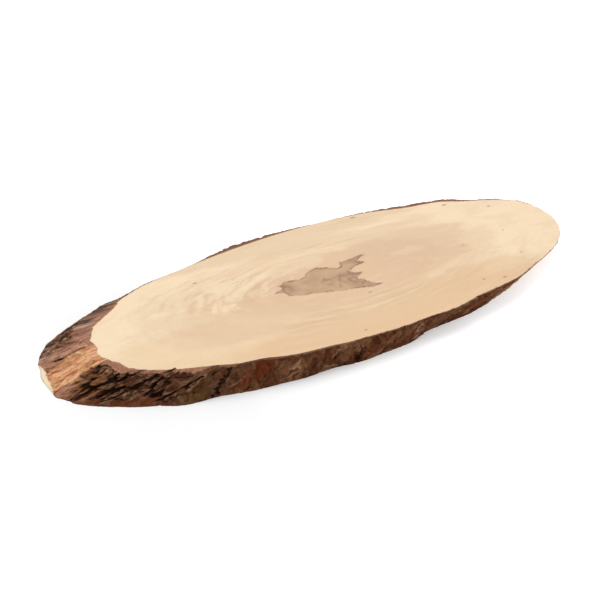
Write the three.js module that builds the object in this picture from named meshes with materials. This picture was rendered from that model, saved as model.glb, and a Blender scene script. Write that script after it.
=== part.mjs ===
// A slice of a tree trunk, sawn on the slant, so that it comes out as a long oval board with its bark on.
// Millimetres, +Z up. The board lies on its lower sawn face, and +X runs along the oval, towards the end
// where the upper face reaches furthest out. The origin is in the middle of the lower face.
//
// The trunk's skin is described in the trunk's own terms: an angle round the trunk, 0 towards +X, and a
// distance along its axis, which rises towards +X. Both sawn faces are level planes across that skin.
import * as THREE from "three";

// Driving dimensions
const THICKNESS = 20; // between the two saw cuts
const CUT_ANGLE = THREE.MathUtils.degToRad(24.4); // between the trunk's axis and the saw cuts
const LOWER_TIP = -255; // where the thin lower edge has broken off, from the middle of the trunk's axis
const LOWER_TIP_SLOPE = 1.0; // that broken face leans back this far for each millimetre of height
const UPPER_TIP = 256; // where the thin upper edge is worn off
const UPPER_TIP_WEAR = 1.0; // how much further back that worn face lies at the foot of the board

// The trunk is not round: its radius to the outside of the bark, at an angle in degrees, along the
// lower sawn edge and along the upper one
const TRUNK_OUTLINE = [
  { angle: 0, lower: 99, upper: 97.5 },
  { angle: 20, lower: 101.5, upper: 101.8 },
  { angle: 33, lower: 102, upper: 102.4 },
  { angle: 48, lower: 101.5, upper: 104.8 },
  { angle: 60, lower: 100.5, upper: 101.8 },
  { angle: 80, lower: 101.5, upper: 99.4 },
  { angle: 100, lower: 101, upper: 103.4 },
  { angle: 118, lower: 99, upper: 96.6 },
  { angle: 133, lower: 101, upper: 100 },
  { angle: 147, lower: 104.5, upper: 106 },
  { angle: 158, lower: 101.2, upper: 104 },
  { angle: 166, lower: 98, upper: 101 },
  { angle: 176, lower: 96.5, upper: 99 },
  { angle: 190, lower: 97.2, upper: 101 },
  { angle: 204, lower: 97.4, upper: 103.4 },
  { angle: 216, lower: 98.8, upper: 102.8 },
  { angle: 224, lower: 100, upper: 101.6 },
  { angle: 232, lower: 101.2, upper: 101.4 },
  { angle: 240, lower: 98.8, upper: 101 },
  { angle: 250, lower: 100, upper: 101.2 },
  { angle: 262, lower: 98, upper: 101 },
  { angle: 270, lower: 100.4, upper: 101.4 },
  { angle: 280, lower: 99.6, upper: 101.2 },
  { angle: 287, lower: 96, upper: 100.6 },
  { angle: 300, lower: 99, upper: 101.4 },
  { angle: 318, lower: 100.8, upper: 98.8 },
  { angle: 340, lower: 99, upper: 97.8 },
];
const FULL_TURN = 360;
const QUARTER_TURN = 90;

// Bark: long furrows along the trunk, which wander and leave plates between them
const BARK_RADIUS = 100; // at which the distance round the trunk is measured
const FURROWS_ROUND = 34; // furrows round the trunk
const FURROW_LENGTH = 44; // along the trunk, before a furrow wanders off
const FURROW_DEPTH = 1.8;
const FURROW_SHARE = 0.45; // the part of the noise range that lies in a furrow
const PLATE_DEPTH = 0.9; // how far plates differ in height
const PLATE_SHIFT = { round: 0.5, along: 9 }; // moves the plates' noise away from the furrows' noise
const END_WEAR = 0.8; // the share of the relief that is worn away at both ends
const END_SPREAD = 40; // degrees either side of an end over which the wear fades out

// How finely the skin is drawn
const STEPS_ROUND = 264;
const STEPS_UP = 6;
const RULER_STEPS = 20; // that measure the oval's edge, for each step round

// Numbers that scramble a grid cell into a repeatable value
const SCRAMBLE = { column: 127.1, row: 311.7, spread: 43758.5453 };

const SIN_CUT = Math.sin(CUT_ANGLE);
const COS_CUT = Math.cos(CUT_ANGLE);

// A repeatable number from 0 to 1 for each cell of a grid
function cellValue(column, row) {
  const mixed = Math.sin(column * SCRAMBLE.column + row * SCRAMBLE.row) * SCRAMBLE.spread;
  return mixed - Math.floor(mixed);
}

// Smooth noise from 0 to 1 that joins up with itself after a whole number of columns
function smoothNoise(x, y, columns) {
  const column = Math.floor(x);
  const row = Math.floor(y);
  const fx = THREE.MathUtils.smoothstep(x - column, 0, 1);
  const fy = THREE.MathUtils.smoothstep(y - row, 0, 1);
  const left = THREE.MathUtils.euclideanModulo(column, columns);
  const right = THREE.MathUtils.euclideanModulo(column + 1, columns);
  const low = THREE.MathUtils.lerp(cellValue(left, row), cellValue(right, row), fx);
  const high = THREE.MathUtils.lerp(cellValue(left, row + 1), cellValue(right, row + 1), fx);
  return THREE.MathUtils.lerp(low, high, fy);
}

// How far the bark lies below its outermost plates at an angle and a distance along the trunk
function barkDepth(angle, along) {
  const turn = angle / FULL_TURN;
  const ridged = 2 * smoothNoise(turn * FURROWS_ROUND, along / FURROW_LENGTH, FURROWS_ROUND) - 1;
  const furrow = 1 - THREE.MathUtils.smoothstep(Math.abs(ridged), 0, FURROW_SHARE);
  const platesRound = FURROWS_ROUND / 2;
  const plateX = turn * platesRound + PLATE_SHIFT.round;
  const plateY = along / FURROW_LENGTH + PLATE_SHIFT.along;
  const depth = FURROW_DEPTH * furrow + PLATE_DEPTH * smoothNoise(plateX, plateY, platesRound);
  const fromEnd = QUARTER_TURN - Math.abs(QUARTER_TURN - (angle % (2 * QUARTER_TURN)));
  const wear = END_WEAR * (1 - THREE.MathUtils.smoothstep(fromEnd, 0, END_SPREAD));
  return depth * (1 - wear);
}

// The outline's radius along one edge of the board, as a smooth closed curve through its knots
function outlineRadius(angle, edge) {
  const count = TRUNK_OUTLINE.length;
  const knot = (k) => {
    const wrapped = THREE.MathUtils.euclideanModulo(k, count);
    const turns = (k - wrapped) / count;
    return { at: TRUNK_OUTLINE[wrapped].angle + turns * FULL_TURN, radius: TRUNK_OUTLINE[wrapped][edge] };
  };
  const slope = (k) => (knot(k + 1).radius - knot(k - 1).radius) / (knot(k + 1).at - knot(k - 1).at);
  const next = TRUNK_OUTLINE.findIndex((row) => row.angle > angle);
  const k = (next < 0 ? count : next) - 1;
  const width = knot(k + 1).at - knot(k).at;
  const t = (angle - knot(k).at) / width;
  const towards = t * t * (3 - 2 * t);
  const bow = t * (1 - t) * width;
  const straight = THREE.MathUtils.lerp(knot(k).radius, knot(k + 1).radius, towards);
  return straight + bow * ((1 - t) * slope(k) - t * slope(k + 1));
}

// The x of the trunk's axis where it passes through a height
function axisX(height) {
  return (height - THICKNESS / 2) / Math.tan(CUT_ANGLE);
}

// The point of the skin at an angle round the trunk and a height above the lower face
function skinPoint(angle, height) {
  const turned = THREE.MathUtils.degToRad(angle);
  const lower = outlineRadius(angle, "lower");
  const upper = outlineRadius(angle, "upper");
  const outer = THREE.MathUtils.lerp(lower, upper, height / THICKNESS);
  const along = (height + outer * Math.cos(turned) * COS_CUT) / SIN_CUT;
  const radius = outer - barkDepth(angle, along);
  const lowerTip = LOWER_TIP + LOWER_TIP_SLOPE * height;
  const upperTip = UPPER_TIP - UPPER_TIP_WEAR * (1 - height / THICKNESS);
  const x = axisX(height) + (radius * Math.cos(turned)) / SIN_CUT;
  return new THREE.Vector3(
    THREE.MathUtils.clamp(x, lowerTip, upperTip),
    radius * Math.sin(turned),
    height,
  );
}

// Angles in degrees that space the corners evenly along the oval, not along the round trunk
function evenAngles(count) {
  const oval = new THREE.EllipseCurve(0, 0, BARK_RADIUS / SIN_CUT, BARK_RADIUS);
  oval.arcLengthDivisions = RULER_STEPS * count;
  return Array.from({ length: count }, (_, i) => FULL_TURN * oval.getUtoTmapping(i / count));
}

// The board: level rings of corners from the lower face to the upper, closed by a fan over each face
function boardGeometry() {
  const angles = evenAngles(STEPS_ROUND);
  const corners = [];
  const triangles = [];
  for (let level = 0; level <= STEPS_UP; level++) {
    const height = (THICKNESS * level) / STEPS_UP;
    angles.forEach((angle) => corners.push(...skinPoint(angle, height)));
  }
  const lowerCentre = corners.length / 3;
  const upperCentre = lowerCentre + 1;
  corners.push(axisX(0), 0, 0, axisX(THICKNESS), 0, THICKNESS);

  const corner = (level, step) => level * STEPS_ROUND + (step % STEPS_ROUND);
  for (let step = 0; step < STEPS_ROUND; step++) {
    for (let level = 0; level < STEPS_UP; level++) {
      const near = corner(level, step);
      const next = corner(level, step + 1);
      const above = corner(level + 1, step);
      const aboveNext = corner(level + 1, step + 1);
      triangles.push(near, next, aboveNext, near, aboveNext, above);
    }
    triangles.push(lowerCentre, corner(0, step + 1), corner(0, step));
    triangles.push(upperCentre, corner(STEPS_UP, step), corner(STEPS_UP, step + 1));
  }

  const geometry = new THREE.BufferGeometry();
  geometry.setAttribute("position", new THREE.Float32BufferAttribute(corners, 3));
  geometry.setIndex(triangles);
  geometry.computeVertexNormals();
  return geometry;
}

// Moves the geometry so that the origin is in the middle of its box, at the lower face
function centreOnLowerFace(geometry) {
  geometry.computeBoundingBox();
  const middle = geometry.boundingBox.getCenter(new THREE.Vector3());
  geometry.translate(-middle.x, -middle.y, 0);
  return geometry;
}

const sawnWood = new THREE.MeshStandardMaterial({
  color: 0xe6c9a0,
  roughness: 0.62,
  metalness: 0,
});

const slice = new THREE.Mesh(centreOnLowerFace(boardGeometry()), sawnWood);
slice.name = "wood_slice";

const board = new THREE.Group();
board.add(slice);

export default board;
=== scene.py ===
"""A slice of a tree trunk, sawn on the slant into a long oval board with its bark on.

Shapes are worked out in millimetres and in the trunk's own terms: an angle round the trunk in
degrees, 0 towards +X and 180 at the left end, and a distance along the trunk's axis, which rises
towards +X. Blender's meshes, lights and camera are in metres.
"""
from types import SimpleNamespace

import bpy
import numpy as np
from mathutils import Matrix, Vector
from mathutils.geometry import delaunay_2d_cdt


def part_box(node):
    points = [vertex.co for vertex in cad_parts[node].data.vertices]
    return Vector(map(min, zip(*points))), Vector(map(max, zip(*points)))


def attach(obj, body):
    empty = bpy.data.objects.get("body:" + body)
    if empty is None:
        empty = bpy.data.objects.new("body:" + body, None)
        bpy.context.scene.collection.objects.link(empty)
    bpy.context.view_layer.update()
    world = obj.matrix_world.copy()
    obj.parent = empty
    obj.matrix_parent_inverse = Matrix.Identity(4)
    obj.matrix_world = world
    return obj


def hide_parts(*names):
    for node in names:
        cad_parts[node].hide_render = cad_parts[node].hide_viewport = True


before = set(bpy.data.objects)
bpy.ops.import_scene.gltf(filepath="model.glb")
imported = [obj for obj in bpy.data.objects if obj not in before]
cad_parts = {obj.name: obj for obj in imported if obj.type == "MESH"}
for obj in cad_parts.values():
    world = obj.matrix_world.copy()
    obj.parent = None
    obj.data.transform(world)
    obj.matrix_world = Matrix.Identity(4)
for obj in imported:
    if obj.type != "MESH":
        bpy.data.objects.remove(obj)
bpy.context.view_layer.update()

# Driving dimensions, in millimetres and degrees
MM = 0.001
CAD_LOW, CAD_HIGH = (np.array(corner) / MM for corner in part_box("wood_slice"))
THICKNESS = CAD_HIGH[2] - CAD_LOW[2]
MIDDLE = 10.0  # the height halfway up
CUT_ANGLE = np.radians(24.4)
SIN_CUT, COS_CUT = np.sin(CUT_ANGLE), np.cos(CUT_ANGLE)
WOOD_RADIUS = 98.0
TRUNK_ROUND = 2 * np.pi * WOOD_RADIUS
TRUNK_SPAN = 640.0  # of noise along the trunk, more than the board is long

# How far the wood swells past WOOD_RADIUS: angle, millimetres
WOOD_SWELL = [
    (0, -0.9), (10, 0.6), (20, 2.6), (30, 1.9), (40, 0.0), (47, 1.6), (57, -1.8), (70, 0.7),
    (85, 0.6), (105, -2.0), (120, -1.7), (132, 0.9), (141, 0.0), (149, -2.4), (154, -2.0),
    (159, -0.8), (166, -1.5), (170, -1.2), (176, -2.5), (182, -1.6), (187, -0.9), (190, -0.4),
    (194, -1.0), (201, 1.2), (216, 0.9), (225, -0.6), (231, 0.1), (236, -1.4), (244, 0.8),
    (252, 0.0), (256, 1.0), (260, 0.6), (268, 1.4), (272, 0.7), (282, 1.8), (288, -0.4),
    (300, 1.5), (312, -0.3), (325, 0.3), (335, -0.5), (352, -1.2),
]
# How thick the bark is along the upper edge and along the lower edge: angle, millimetres
UPPER_BARK = [
    (0, 0.3), (10, 0.5), (18, 1.0), (25, 1.2), (32, 2.4), (38, 2.4), (45, 4.8), (52, 5.8),
    (60, 5.2), (68, 3.2), (76, 1.1), (81, 0.6), (86, 2.2), (93, 4.8), (100, 6.6), (106, 6.0),
    (111, 3.2), (115, 1.2), (124, 0.5), (129, 1.2), (135, 2.0), (140, 6.8), (146, 10.4),
    (155, 9.7), (163, 4.8), (172, 2.6), (184, 2.8), (190, 3.1), (198, 4.0), (212, 3.6),
    (226, 3.2), (238, 2.8), (250, 3.0), (264, 2.0), (280, 1.6), (291, 2.4), (300, 1.6),
    (310, 1.0), (325, 0.8), (345, 0.3),
]
LOWER_BARK = [
    (0, 2.2), (30, 3.0), (60, 3.6), (80, 3.2), (100, 4.2), (116, 3.0), (132, 5.4), (140, 7.1),
    (144, 9.5), (149, 9.0), (153, 7.5), (157, 5.1), (161, 3.3), (165, 2.6), (170, 1.9),
    (176, 2.7), (181, 2.2), (188, 2.2), (196, 3.1), (210, 3.2), (222, 3.4), (232, 4.2),
    (244, 3.2), (253, 4.0), (262, 2.6), (274, 3.8), (281, 2.4), (288, 0.9), (295, 1.6),
    (303, 3.2), (318, 4.0), (340, 3.0),
]
# How far the trunk leans in by the time the lower edge is reached: angle, millimetres
LOWER_LEAN = [
    (0, -0.6), (120, 0.0), (160, -1.2), (180, -1.8), (190, -2.3), (196, -2.9), (202, -4.5),
    (207, -4.8), (214, -4.2), (221, -2.2), (229, -1.2), (233, -0.8), (238, -2.8), (246, -3.2),
    (256, -3.9), (262, -4.4), (269, -2.8), (276, -3.4), (281, -3.0), (285, -4.9), (290, -3.4),
    (297, -3.0), (306, -2.8), (314, -1.4), (325, -1.8), (345, -1.0),
]
# How far the bark's grain leans as it rises, in degrees round the trunk for each millimetre of height
GRAIN_LEAN = [
    (0, 0.1), (60, 0.1), (120, 0.2), (135, 0.25), (147, 0.4), (158, 0.6), (164, 0.68), (172, 0.5),
    (182, 0.32), (190, 0.25), (200, 0.45), (212, 0.42), (222, 0.12), (232, -0.2), (245, -0.28),
    (264, -0.32), (274, -0.05), (285, 0.4), (300, 0.42), (325, 0.2),
]
# The thin lower left tip has split off, back to a small sloping face of pale wood
TIP_X = -255.0
TIP_SLOPE = 1.0
TIP_HEIGHT = 4.0
TIP_ROUGHNESS = 0.15
TIP_SQUEEZE = 3  # of its roughness, in height

STEPS_ROUND = 1800
STEPS_UP = 42
SEED = 11
SEED_STEP = 1000  # keeps the patterns' own seeds apart
LAYER_STEP = 17
JITTER = (0.1, 0.8)  # where a plate's middle may lie in its cell: least, and how much further


def closed_curve(knots, angles):
    """Values of a smooth closed curve through knots (angle, value) at angles in degrees."""
    at, value = np.array(knots, float).T
    at = np.concatenate([at[-2:] - 360, at, at[:2] + 360])
    value = np.concatenate([value[-2:], value, value[:2]])
    slope = np.gradient(value, at)
    angles = np.mod(angles, 360)
    k = np.clip(np.searchsorted(at, angles, side="right") - 1, 0, len(at) - 2)
    width = at[k + 1] - at[k]
    t = (angles - at[k]) / width
    start = (1 + 2 * t) * (1 - t) ** 2 * value[k] + t * (1 - t) ** 2 * width * slope[k]
    end = t**2 * (3 - 2 * t) * value[k + 1] - t**2 * (1 - t) * width * slope[k + 1]
    return start + end


def smoothstep(low, high, value):
    """0 below low, 1 above high, and a smooth rise between them."""
    t = np.clip((value - low) / (high - low), 0, 1)
    return t * t * (3 - 2 * t)


def mix(low, high, share):
    return low + (high - low) * share


def lattice(columns, rows, seed):
    return np.random.default_rng(SEED * SEED_STEP + seed).random((columns, rows))


def grid_of(around, along, cell, seed):
    """Cell coordinates of points for a lattice that joins up with itself round the trunk."""
    columns = max(3, round(TRUNK_ROUND / cell[0]))
    rows = int(TRUNK_SPAN / cell[1]) + 3
    x = np.mod(around, TRUNK_ROUND) / TRUNK_ROUND * columns
    y = (along + TRUNK_SPAN / 2) / cell[1]
    return x, y, columns, rows


def noise(around, along, cell, seed, octaves=1):
    """Smooth noise from 0 to 1 with cells of a size (round the trunk, along it)."""
    total = 0.0
    weight = 1.0
    most = 0.0
    for octave in range(octaves):
        x, y, columns, rows = grid_of(around, along, cell, seed)
        table = lattice(columns, rows, seed + LAYER_STEP * octave)
        i, j = np.floor(x).astype(int), np.floor(y).astype(int)
        fx, fy = smoothstep(0, 1, x - i), smoothstep(0, 1, y - j)
        left, right = i % columns, (i + 1) % columns
        low, high = np.clip(j, 0, rows - 1), np.clip(j + 1, 0, rows - 1)
        lower = mix(table[left, low], table[right, low], fx)
        upper = mix(table[left, high], table[right, high], fx)
        total = total + weight * mix(lower, upper, fy)
        most += weight
        weight *= 0.5
        cell = (cell[0] / 2, cell[1] / 2)
    return total / most


def plates(around, along, cell, seed):
    """Irregular cells: distance to the cell's border in millimetres, the cell's own number from 0 to 1,
    and how far along the trunk the point is from the cell's middle, as a share of the cell."""
    x, y, columns, rows = grid_of(around, along, cell, seed)
    jitter_x = lattice(columns, rows + 4, seed)
    jitter_y = lattice(columns, rows + 4, seed + 1)
    number = lattice(columns, rows + 4, seed + 2)
    i, j = np.floor(x).astype(int), np.floor(y).astype(int)
    nearest = np.full(x.shape, np.inf)
    second = np.full(x.shape, np.inf)
    own = np.zeros(x.shape)
    lead = np.zeros(x.shape)
    for step_x in (-1, 0, 1):
        for step_y in (-1, 0, 1):
            column = (i + step_x) % columns
            row = np.clip(j + step_y + 1, 0, rows + 3)
            gap_x = i + step_x + JITTER[0] + JITTER[1] * jitter_x[column, row] - x
            gap_y = j + step_y + JITTER[0] + JITTER[1] * jitter_y[column, row] - y
            gap = np.hypot(gap_x, gap_y)
            closer = gap < nearest
            second = np.where(closer, nearest, np.minimum(second, gap))
            own = np.where(closer, number[column, row], own)
            lead = np.where(closer, -gap_y, lead)
            nearest = np.where(closer, gap, nearest)
    return (second - nearest) * cell[0] / 2, own, lead


def spot(angle, along, centre, size, edge=0.35):
    """A soft oval on the skin: 1 inside, 0 outside."""
    away_round = (np.mod(angle - centre[0] + 180, 360) - 180) / size[0]
    away_along = (along - centre[1]) / size[1]
    return 1 - smoothstep(1 - edge, 1 + edge, np.hypot(away_round, away_along))


def stretch(angle, start, end, soft):
    """1 between two angles, fading out over soft degrees at each end."""
    middle, half = (start + end) / 2, (end - start) / 2
    away = np.abs(np.mod(angle - middle + 180, 360) - 180)
    return 1 - smoothstep(half - soft / 2, half + soft / 2, away)


# The bark's patterns: the size of a cell in millimetres, round the trunk and along it, then the
# number that sets the pattern apart and, for noise, how many layers it has
PATTERNS = {
    "bend": ((20, 30), 1, 2),
    "twist": ((18, 24), 2, 2),
    "small_bend": ((3.2, 4.6), 3, 3),
    "small_twist": ((3.6, 4.4), 4, 3),
    "scallops": ((5, 70), 5, 2),
    "blotches": ((9, 16), 6, 4),
    "openness": ((6, 10), 7, 2),
    "spread": ((2.4, 3.6), 8, 2),
    "plates": ((8, 14), 20),
    "flakes": ((4.4, 7), 30),
    "chips": ((2.3, 3.2), 40),
    "fibre": ((1.2, 12), 50, 2),
    "grit": ((1.3, 1.7), 60, 2),
    "lumps": ((7, 9), 70, 3),
    "wrinkles": ((2.2, 3.4), 75, 3),
    "tip": ((3, 9), 80, 2),
    "drop": ((5, 9), 85, 3),
    "long_furrows": ((11, 44), 90),
    "short_furrows": ((6.5, 17), 95),
}
# How far the patterns wander, in millimetres, so that nothing runs quite straight
WANDER = {"bend": 7, "twist": 12, "small_bend": 3.4, "small_twist": 5.0}

# Parts of the way round the trunk: where each starts, where it ends, and how wide its border is
REGIONS = {
    "tan": (172, 188.5, 1.6),  # bare inner bark on the sloping left end
    "mauve": (160, 172, 5),  # smooth bark behind it
    "shoulder": (150, 177, 6),  # smooth bark along the upper edge
    "strip": (187, 229, 4),  # the same on the near side
    "narrow_strip": (208, 240, 8),
    "foot": (200, 224, 6),  # smooth rusty bark along the lower edge
    "heel": (184, 193, 5),  # the lower corner of the tan part
    "broad": (226, 284, 6),  # broad plates in low relief
    "shaggy": (126, 166, 8),  # long strands
    "few_strands": (158, 178, 5),
    "deep": (189, 226, 5),  # deep furrows
    "scalloped": (138, 205, 10),  # where the wood's upper rim is ragged
    "thin_end": (144, 208, 14),  # where the lower edge runs out thin
    "even_end": (136, 156, 8),
    "split": (164, 184, 14),  # where the lower edge has split off
    "pale_chips_far": (138, 162, 6),
    "pale_chips_near": (188, 216, 4),
    "dark": (200, 240, 12),
    "rather_dark": (240, 312, 8),
    "plum": (279, 289, 4),
    "thin": (306, 395, 10),
}
# How much of the relief the smooth parts lose
SMOOTHNESS = {"tan": 0.95, "mauve": 0.85, "shoulder": 0.75, "strip": 0.9, "foot": 0.75, "heel": 0.5}
# Rust and olive spots: angle and distance along the trunk, half sizes round it and along it, strength
RUST = [
    ((239, -103), (4, 24), 1.0),
    ((267, -12), (3, 16), 0.8),
    ((276.5, 18), (1.6, 22), 0.9),
    ((295, 80), (5, 20), 0.7),
]
OLIVE = [((229, -146), (4, 20), 1.0), ((271, 0), (3, 8), 0.7)]

# Where the smooth parts begin or end, as shares of the height
SHOULDER_FOOT = (0.76, 0.84)
STRIP_FOOT, STRIP_BORDER = 0.93, 0.03
FOOT_TOP = (0.13, 0.19)
HEEL_TOP = (0.13, 0.22)
TAN_LEAN, MAUVE_LEAN = 0.28, 0.6  # degrees for each millimetre of height

# Depths in millimetres
LONG_FURROW, SHORT_FURROW, CRACK, FLAKE_GAP, CHIP_GAP = 2.1, 1.5, 1.9, 0.5, 0.3
PLATE_STEP, FLAKE_STEP, FLAKE_TILT, CHIP_STEP = 0.8, 1.2, 0.8, 0.6
TOP_LEVEL = 1.7  # of the steps, that lies at the bark's outside
SCALLOP = 1.6
SMOOTH_DEPTH = 0.5  # how far smooth strips lie below the plates
MOST_RAISED, MOST_SUNK = 0.4, 0.3  # past the bark's outside, and past its inside
FULL_SHADE = 3.0  # the depth at which a furrow's dark bark and painted shade are full
DROP, DROP_CHANGE = 1.6, 1.2  # of the shaggy bark below the upper face

# Long furrows that stand out: angle and height at each end, width and depth
FURROWS = [
    (136, 4, 139, 20, 0.7, 1.6), (141, 5, 145, 20, 0.7, 1.8), (146, 2, 150, 17, 0.8, 2.0),
    (150, 9, 154, 20, 0.6, 1.6), (152.5, 0, 160, 18, 0.9, 2.4), (158, 3, 163, 11, 0.7, 1.6),
    (163, 12, 167, 18, 0.8, 1.6), (166, 5.5, 169.5, 9.5, 1.8, 2.8),
    (169.5, 9.5, 171, 13, 1.0, 2.2), (171.5, 14, 173.5, 18, 1.2, 2.0),
    (185.5, 13, 187.5, 20, 0.7, 0.8), (179, 9, 180, 13, 0.7, 0.8), (188, 3.5, 189, 11, 0.9, 1.2),
    (191.5, 12, 192.5, 17.5, 1.3, 2.2), (194.5, 11.5, 195.5, 17.5, 1.4, 2.2),
    (197.5, 2, 198.5, 8.5, 2.0, 3.0), (198.5, 8.5, 203, 14, 3.0, 3.8),
    (203, 14, 201.5, 17.5, 1.6, 2.6), (203.5, 4, 206, 8.5, 2.0, 3.0),
    (206, 8.5, 205, 12.5, 1.2, 2.0), (208.5, 5, 212, 3.5, 1.6, 2.6),
    (209, 5, 210.5, 10, 1.8, 2.8), (211, 10, 213, 18, 2.6, 3.2),
    (215, 16.5, 222.5, 15.5, 1.4, 2.4), (217, 6, 219, 12, 1.6, 2.4),
    (222.5, 3, 226, 15, 1.8, 2.8), (230.5, 18, 236.5, 1, 1.6, 2.6), (243, 1, 240.5, 8, 1.3, 2.0),
    (263.5, 11, 267.5, 0, 1.7, 2.4), (273.5, 0, 271.5, 8, 1.4, 2.0), (281, 0, 285, 8, 1.2, 1.9),
    (287.5, 6, 286, 15, 1.2, 2.0), (290, 2, 294, 12, 1.9, 2.6), (297, 2, 302, 14, 1.9, 2.6),
    (304, 8, 303, 18, 1.3, 2.0), (307, 1, 311, 12, 1.6, 2.4), (315, 3, 318, 16, 1.4, 2.2),
    (323, 2, 325, 12, 1.4, 2.0), (332, 4, 334, 15, 1.3, 1.8),
]

# Pale curls of torn inner bark: angle and height at each end, width and height
CURLS = [
    (173.4, 15.6, 176.8, 16.6, 0.9, 1.0), (172.0, 18.2, 174.0, 19.4, 0.5, 0.7),
    (189.5, 4.5, 191.5, 6.5, 0.6, 0.5),
]

# Raised ridges and torn edges on the near side, made lighter partly as paler bark and partly with painted
# highlight: angle and height at each end, width and height
RIDGES = [
    (221, 6, 225, 9, 1.0, 0.8), (226.5, 17, 227, 8, 0.9, 0.8), (233, 10, 236, 3, 1.0, 0.9),
    (237.5, 11, 237, 5, 0.9, 0.7), (247, 17, 248, 11, 1.2, 1.0), (248, 11, 251, 8, 1.3, 1.2),
    (251, 8, 250, 3, 1.1, 1.0), (254.5, 19, 256.5, 10, 1.2, 0.8), (258, 5, 262, 1.5, 1.2, 0.8),
    (268, 14, 271, 7, 1.4, 0.8), (274, 17, 280.5, 2, 1.1, 1.0), (287, 14, 290, 8, 1.2, 0.8),
    (293, 8, 296, 3, 1.2, 0.8), (301, 15, 306, 8, 1.6, 0.8),
]


def named_lines(lines, angle, height, wander, spread):
    """How much a list of lines cuts or raises the bark, in millimetres."""
    depth = np.zeros(angle.shape)
    arc = np.pi / 180 * WOOD_RADIUS
    for from_angle, from_height, to_angle, to_height, width, most in lines:
        run = np.array([(to_angle - from_angle) * arc, (to_height - from_height) / SIN_CUT])
        x = (angle - from_angle) * arc + wander
        y = (height - from_height) / SIN_CUT + wander
        share = np.clip((x * run[0] + y * run[1]) / (run @ run), 0, 1)
        away = np.hypot(x - share * run[0], 0.6 * (y - share * run[1])) / (width * spread)
        depth = np.maximum(depth, most * (1 - smoothstep(0.2, 1.0, away)))
    return depth


def ridges(around, along, cell, seed, octaves=2):
    """Long wandering lines: 0 on a line, rising to 1 between lines."""
    return 2 * np.abs(noise(around, along, cell, seed, octaves) - 0.5)


def region(name, angle):
    return stretch(angle, *REGIONS[name])


def fixed(at, name):
    """A pattern that lies straight on the trunk."""
    return noise(at.around, at.along, *PATTERNS[name])


def bent(at, name, kind=noise):
    """A pattern that wanders."""
    return kind(at.u, at.v, *PATTERNS[name])


def find_places(angle, height):
    """Where points of the skin lie in the bark's patterns."""
    at = SimpleNamespace(angle=angle, height=height, up=height / THICKNESS)
    above_axis = height - THICKNESS / 2
    at.along = (above_axis + WOOD_RADIUS * np.cos(np.radians(angle)) * COS_CUT) / SIN_CUT
    at.around = np.radians(angle - closed_curve(GRAIN_LEAN, angle) * above_axis) * WOOD_RADIUS
    for name, most in WANDER.items():
        setattr(at, name, most * (fixed(at, name) - 0.5))
    at.u = at.around + at.bend + at.small_bend
    at.v = at.along + at.twist + at.small_twist
    at.blotch = fixed(at, "blotches") - 0.5
    at.grit = fixed(at, "grit") - 0.5
    at.loose = 1.1 * at.small_bend + 7 * at.blotch
    at.loose_angle = angle + at.loose
    return at


def find_regions(at):
    """Where the bark is smooth, where it is gone, and where it is deep or shaggy."""
    part = SimpleNamespace()
    above = at.height - MIDDLE
    part.heel = region("heel", at.loose_angle) * (1 - smoothstep(*HEEL_TOP, at.up + 0.8 * at.blotch))
    part.tan = region("tan", at.loose_angle + 2.0 * at.grit - TAN_LEAN * above) * (1 - 0.85 * part.heel)
    part.mauve = region("mauve", at.loose_angle - MAUVE_LEAN * above)
    shoulder_height = smoothstep(*SHOULDER_FOOT, at.up + 0.5 * at.blotch)
    part.shoulder = region("shoulder", at.loose_angle) * shoulder_height
    strip_foot = STRIP_FOOT + 0.02 * region("narrow_strip", at.angle)
    strip_foot = strip_foot + 0.24 * at.blotch - 0.03 * at.small_bend
    strip_height = smoothstep(strip_foot, strip_foot + STRIP_BORDER, at.up)
    part.strip = region("strip", at.angle + 0.6 * at.loose) * strip_height
    part.foot = region("foot", at.loose_angle) * (1 - smoothstep(*FOOT_TOP, at.up + 0.45 * at.blotch))
    smooth = sum(share * getattr(part, name) for name, share in SMOOTHNESS.items())
    part.rough = 1 - np.clip(smooth, 0, 1)
    part.broad = region("broad", at.angle)
    part.shaggy = region("shaggy", at.loose_angle)
    part.deep = np.clip(part.shaggy + region("deep", at.angle), 0, 1)
    return part


def find_outline(at):
    """The wood's radius, and the thickness of the bark on it."""
    scallops = (fixed(at, "scallops") - 0.5) * SCALLOP
    wood = WOOD_RADIUS + closed_curve(WOOD_SWELL, at.angle)
    wood = wood + scallops * (0.2 + 0.8 * at.up * region("scalloped", at.angle))
    wood = wood + (1 - at.up) * closed_curve(LOWER_LEAN, at.angle)
    bark = mix(closed_curve(LOWER_BARK, at.angle), closed_curve(UPPER_BARK, at.angle), at.up)
    return wood, np.maximum(bark, 0)


def find_plates(at):
    """Long furrows and short ones, then plates, flakes on them and chips on the flakes."""
    scales = SimpleNamespace()
    gape = smoothstep(0.3, 0.7, fixed(at, "openness"))
    long_furrow = 1 - smoothstep(0.02, mix(0.05, 0.22, gape), bent(at, "long_furrows", ridges))
    short_furrow = 1 - smoothstep(0.01, mix(0.03, 0.15, gape), bent(at, "short_furrows", ridges))
    border, scales.plate, _ = bent(at, "plates", plates)
    crack = (1 - smoothstep(0.1, mix(0.4, 1.3, gape), border)) * mix(0.2, 1.0, gape)
    scales.flake_border, scales.flake, scales.flake_lead = bent(at, "flakes", plates)
    flake_gap = 1 - smoothstep(0.0, 0.5, scales.flake_border)
    chip_border, scales.chip, chip_lead = bent(at, "chips", plates)
    chip_gap = 1 - smoothstep(0.0, 0.3, chip_border)
    scales.gaps = LONG_FURROW * long_furrow + SHORT_FURROW * short_furrow + CRACK * crack
    scales.gaps = scales.gaps + FLAKE_GAP * flake_gap + CHIP_GAP * chip_gap
    scales.level = PLATE_STEP * scales.plate + FLAKE_STEP * scales.flake + FLAKE_TILT * scales.flake_lead
    scales.level = scales.level + CHIP_STEP * (scales.chip + chip_lead)
    return scales


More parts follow.
